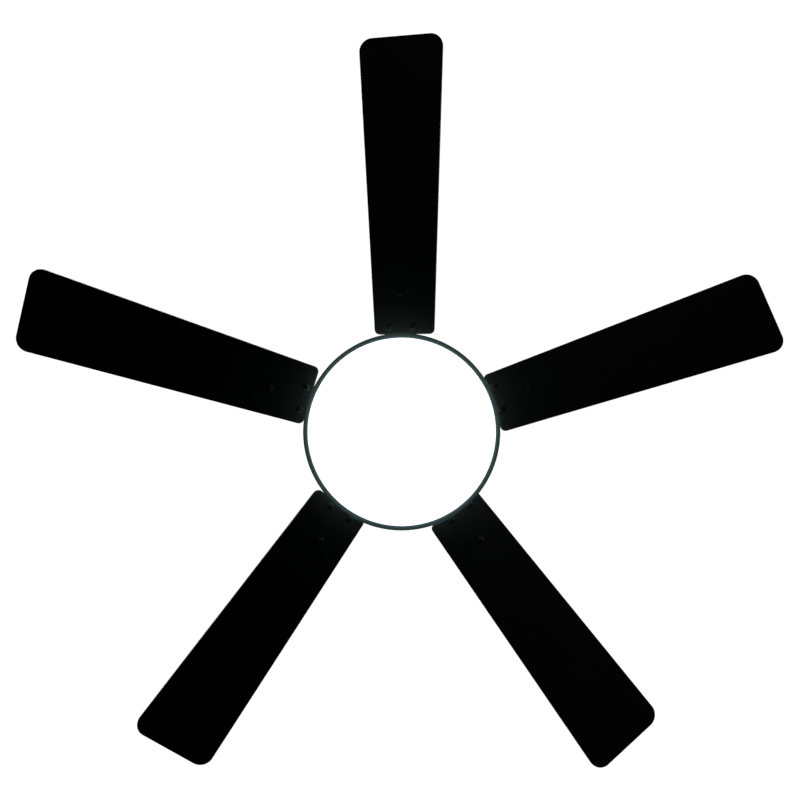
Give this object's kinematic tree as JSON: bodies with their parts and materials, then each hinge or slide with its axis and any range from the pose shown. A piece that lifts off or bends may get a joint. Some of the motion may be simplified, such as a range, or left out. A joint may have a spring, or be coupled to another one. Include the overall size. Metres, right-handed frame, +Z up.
{
  "type": "ceiling fan with light",
  "caption": "Ceiling fan on a short rod: flat pitched blades on a shell motor, a bell canopy over a ball hanger, and a round flat light with an opal diffuser.",
  "frame": {"origin": "middle of the hanger bracket's upper face, where it meets the ceiling", "axes": "+Z up into the ceiling, +X along the bracket and its line of ceiling screws; the first blade points along -Y"},
  "size_m": [1.2878, 1.2268, 0.3908],
  "materials": {
    "bracket_zinc": "zinc plated sheet steel",
    "black_paint": "satin black powder coat",
    "black_screw": "blackened steel",
    "zinc_screw": "zinc plated steel",
    "receiver_plastic": "moulded, fine grain",
    "cast_alloy": "as cast, machined faces",
    "core_steel": "stacked sheet steel",
    "bearing_steel": "ground bright",
    "copper_wire": "enamelled copper wire",
    "gasket_fibre": "pressed fibre",
    "washer_black": "black nylon",
    "blade_black": "satin black laminate over board",
    "switch_black": "moulded",
    "switch_knob": "moulded",
    "lead_sleeve": "woven glass sleeve",
    "board_white": "white solder mask",
    "led_yellow": "phosphor-filled silicone",
    "rim_grey": "satin dark grey",
    "opal": "opal acrylic"
  },
  "bodies": {
    "ceiling_mount": {"hanger_bracket": "bracket_zinc", "canopy": "black_paint", "canopy_screws": "zinc_screw", "canopy_trim_ring": "black_paint", "remote_receiver": "receiver_plastic"},
    "hanging_frame": {"hanger_ball": "cast_alloy", "ball_pin": "zinc_screw", "ball_set_screw": "zinc_screw", "downrod": "black_paint", "motor_yoke": "cast_alloy", "clevis_pin": "zinc_screw", "cotter_clip": "zinc_screw", "yoke_set_screws": "zinc_screw", "yoke_lock_nuts": "zinc_screw", "motor_shaft": "core_steel", "stator_core": "core_steel", "stator_windings": "copper_wire", "bearing_inner_races": "bearing_steel", "motor_housing": "black_paint", "housing_screws": "zinc_screw", "light_neck": "black_paint", "neck_nut": "zinc_screw", "reverse_switch": "switch_black", "supply_lead": "lead_sleeve", "led_driver": "receiver_plastic", "light_pan": "black_paint", "pan_screws": "zinc_screw", "led_board": "board_white", "led_chips": "led_yellow", "board_screws": "zinc_screw"},
    "rotor": {"bearing_balls": "bearing_steel", "bearing_outer_races": "bearing_steel", "rotor_core": "core_steel", "rotor_cage": "cast_alloy", "motor_top_bell": "cast_alloy", "motor_bottom_bell": "cast_alloy", "motor_bolts": "zinc_screw", "iron_gaskets": "gasket_fibre", "iron_screws": "zinc_screw", "blade_screws": "black_screw", "blade_washers": "washer_black", "blade_iron_1": "black_paint", "blade_iron_2": "black_paint", "blade_iron_3": "black_paint", "blade_iron_4": "black_paint", "blade_iron_5": "black_paint", "blade_1": "blade_black", "blade_2": "blade_black", "blade_3": "blade_black", "blade_4": "blade_black", "blade_5": "blade_black"},
    "coupling_cover": {"coupling_cover": "black_paint"},
    "reverse_knob": {"reverse_knob": "switch_knob"},
    "shade": {"light_rim": "rim_grey", "diffuser": "opal"}
  },
  "joints": [
    {"name": "ball_swing", "type": "hinge", "parent": "ceiling_mount", "child": "hanging_frame", "pos_m": [0, 0, -0.0487], "axis": [0, 1, 0], "range_deg": [-15, 15]},
    {"name": "rotor_spin", "type": "hinge", "parent": "hanging_frame", "child": "rotor", "pos_m": [0, 0, -0.24], "axis": [0, 0, 1], "continuous": true},
    {"name": "cover_lift", "type": "slide", "parent": "hanging_frame", "child": "coupling_cover", "axis": [0, 0, 1], "range_m": [0, 0.04]},
    {"name": "reverse_slide", "type": "slide", "parent": "hanging_frame", "child": "reverse_knob", "axis": [1, 0, 0], "range_m": [-0.0035, 0.0035]},
    {"name": "shade_twist", "type": "hinge", "parent": "hanging_frame", "child": "shade", "pos_m": [0, 0, -0.376], "axis": [0, 0, 1], "range_deg": [-15, 0]}
  ]
}
